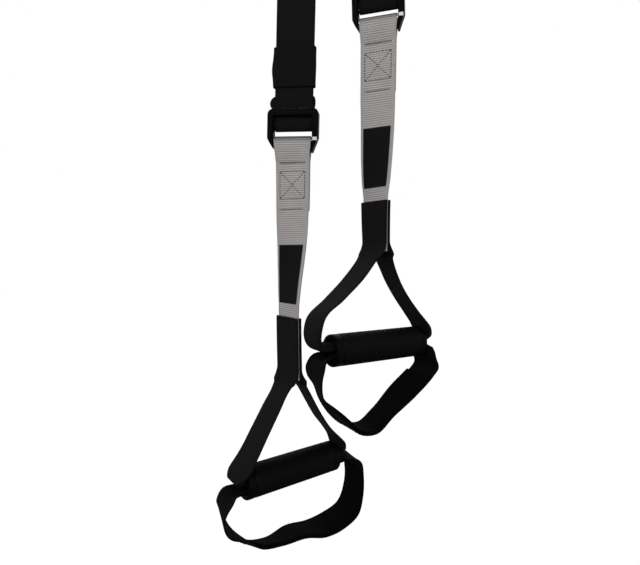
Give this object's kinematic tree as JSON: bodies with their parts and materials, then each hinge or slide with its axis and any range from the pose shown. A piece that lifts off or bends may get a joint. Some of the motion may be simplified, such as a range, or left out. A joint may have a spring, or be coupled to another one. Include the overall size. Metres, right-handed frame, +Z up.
{
  "type": "suspension trainer",
  "caption": "Suspension trainer: adjustable webbing legs with cam buckles, slide rings, rubber grips and padded foot loops, hung from one carabiner.",
  "frame": {"origin": "inside top of the carabiner, where the thing that holds it up touches it", "axes": "+Z up, along the hanging legs; +X to the right of the two legs; +Y away from the viewer"},
  "size_m": [0.2349, 0.1402, 1.3584],
  "materials": {
    "black_webbing": "woven nylon",
    "grey_webbing": "ribbed woven polyester",
    "pad_fabric": "padded knit",
    "label_satin": "satin weave, bare",
    "rubber": "knurled",
    "black_plastic": "moulded",
    "painted_steel": "black enamel",
    "steel": "plated",
    "dark_steel": "black oxide"
  },
  "bodies": {
    "carabiner": {"carabiner_body": "steel", "carabiner_gate_pin": "steel"},
    "gate": {"carabiner_gate": "steel", "carabiner_gate_spring": "steel"},
    "anchor_strap": {"anchor_strap": "black_webbing"},
    "anchor_ring": {"anchor_ring": "steel"},
    "leg_left": {"leg_strap_left": "black_webbing"},
    "slide_left": {"slide_ring_left": "painted_steel", "slide_ring_bar_left": "steel", "return_strap_left": "black_webbing"},
    "keeper_left": {"keeper_left": "black_webbing"},
    "buckle_left": {"buckle_frame_left": "painted_steel", "buckle_bar_left": "steel", "cam_pin_left": "steel", "pull_tab_left": "grey_webbing"},
    "cam_left": {"cam_lever_left": "painted_steel", "cam_spring_left": "steel"},
    "handle_left": {"grey_strap_left": "grey_webbing", "label_left": "label_satin", "handle_strap_left": "black_webbing"},
    "grip_left": {"grip_tube_left": "black_plastic", "grip_sleeve_left": "rubber", "grip_ring_near_left": "dark_steel", "grip_ring_far_left": "dark_steel", "grip_cap_near_left": "black_plastic", "grip_cap_far_left": "black_plastic"},
    "foot_left": {"foot_strap_left": "black_webbing", "foot_pad_left": "pad_fabric"},
    "leg_right": {"leg_strap_right": "black_webbing"},
    "slide_right": {"slide_ring_right": "painted_steel", "slide_ring_bar_right": "steel", "return_strap_right": "black_webbing"},
    "keeper_right": {"keeper_right": "black_webbing"},
    "buckle_right": {"buckle_frame_right": "painted_steel", "buckle_bar_right": "steel", "cam_pin_right": "steel", "pull_tab_right": "grey_webbing"},
    "cam_right": {"cam_lever_right": "painted_steel", "cam_spring_right": "steel"},
    "handle_right": {"grey_strap_right": "grey_webbing", "label_right": "label_satin", "handle_strap_right": "black_webbing"},
    "grip_right": {"grip_tube_right": "black_plastic", "grip_sleeve_right": "rubber", "grip_ring_near_right": "dark_steel", "grip_ring_far_right": "dark_steel", "grip_cap_near_right": "black_plastic", "grip_cap_far_right": "black_plastic"},
    "foot_right": {"foot_strap_right": "black_webbing", "foot_pad_right": "pad_fabric"}
  },
  "joints": [
    {"name": "gate_hinge", "type": "hinge", "parent": "carabiner", "child": "gate", "pos_m": [0.02307, -0.00662, -0.057], "axis": [-0.2756, -0.9613, 0], "range_deg": [0, 24], "stiffness_Nm_per_rad": 0.25, "springref_deg": -11.46},
    {"name": "anchor_strap_swing", "type": "hinge", "parent": "carabiner", "child": "anchor_strap", "pos_m": [0, 0, -0.077], "axis": [0.9613, -0.2756, 0], "range_deg": [-60, 60]},
    {"name": "anchor_ring_swing", "type": "hinge", "parent": "anchor_strap", "child": "anchor_ring", "pos_m": [0, 0, -0.152], "axis": [0.9613, -0.2756, 0], "range_deg": [-45, 45]},
    {"name": "leg_swing_left", "type": "hinge", "parent": "anchor_ring", "child": "leg_left", "pos_m": [-0.02499, 0.00717, -0.197], "axis": [0.9613, -0.2756, 0], "range_deg": [-45, 45]},
    {"name": "strap_length_left", "type": "slide", "parent": "leg_left", "child": "slide_left", "axis": [-0.0253, -0.0101, -0.9996], "range_m": [-0.06, 0.175], "deforming": ["leg_strap_left"]},
    {"name": "keeper_slide_left", "type": "slide", "parent": "slide_left", "child": "keeper_left", "axis": [0.0253, 0.0101, 0.9996], "range_m": [-0.012, 0.02]},
    {"name": "buckle_slide_left", "type": "slide", "parent": "slide_left", "child": "buckle_left", "axis": [-0.0253, -0.0101, -0.9996], "range_m": [-0.06, 0.175], "deforming": ["return_strap_left"]},
    {"name": "cam_hinge_left", "type": "hinge", "parent": "buckle_left", "child": "cam_left", "pos_m": [-0.03538, -0.01104, -0.51307], "axis": [0.9874, -0.1564, -0.0235], "range_deg": [0, 30], "stiffness_Nm_per_rad": 0.3, "springref_deg": -17.19},
    {"name": "handle_swing_left", "type": "hinge", "parent": "slide_left", "child": "handle_left", "pos_m": [-0.04416, -0.00509, -0.92196], "axis": [0.9874, -0.1564, -0.0235], "range_deg": [-60, 60]},
    {"name": "grip_spin_left", "type": "hinge", "parent": "handle_left", "child": "grip_left", "pos_m": [-0.04796, -0.00509, -1.26516], "axis": [0.7986, 0.6018, 0], "continuous": true},
    {"name": "foot_swing_left", "type": "hinge", "parent": "handle_left", "child": "foot_left", "pos_m": [-0.04796, -0.00509, -1.26516], "axis": [0.7986, 0.6018, 0], "range_deg": [-35, 40]},
    {"name": "leg_swing_right", "type": "hinge", "parent": "anchor_ring", "child": "leg_right", "pos_m": [0.02499, -0.00717, -0.197], "axis": [0.9613, -0.2756, 0], "range_deg": [-45, 45]},
    {"name": "strap_length_right", "type": "slide", "parent": "leg_right", "child": "slide_right", "axis": [0.0315, 0.0121, -0.9994], "range_m": [0, 0.295], "deforming": ["leg_strap_right"]},
    {"name": "keeper_slide_right", "type": "slide", "parent": "slide_right", "child": "keeper_right", "axis": [-0.0315, -0.0121, 0.9994], "range_m": [-0.012, 0.02]},
    {"name": "buckle_slide_right", "type": "slide", "parent": "slide_right", "child": "buckle_right", "axis": [0.0315, 0.0121, -0.9994], "range_m": [0, 0.295], "deforming": ["return_strap_right"]},
    {"name": "cam_hinge_right", "type": "hinge", "parent": "buckle_right", "child": "cam_right", "pos_m": [0.02324, -0.02084, -0.27426], "axis": [0.9609, -0.2756, 0.0269], "range_deg": [0, 30], "stiffness_Nm_per_rad": 0.3, "springref_deg": -17.19},
    {"name": "handle_swing_right", "type": "hinge", "parent": "slide_right", "child": "handle_right", "pos_m": [0.04269, -0.00463, -0.80236], "axis": [0.9609, -0.2756, 0.0269], "range_deg": [-60, 60]},
    {"name": "grip_spin_right", "type": "hinge", "parent": "handle_right", "child": "grip_right", "pos_m": [0.04269, -0.00463, -1.13296], "axis": [0.866, 0.5, 0], "continuous": true},
    {"name": "foot_swing_right", "type": "hinge", "parent": "handle_right", "child": "foot_right", "pos_m": [0.04269, -0.00463, -1.13296], "axis": [0.866, 0.5, 0], "range_deg": [-40, 20]}
  ],
  "couplings": [
    {"joint": "buckle_slide_left", "follows": "strap_length_left", "ratio": 1},
    {"joint": "buckle_slide_right", "follows": "strap_length_right", "ratio": 1}
  ]
}
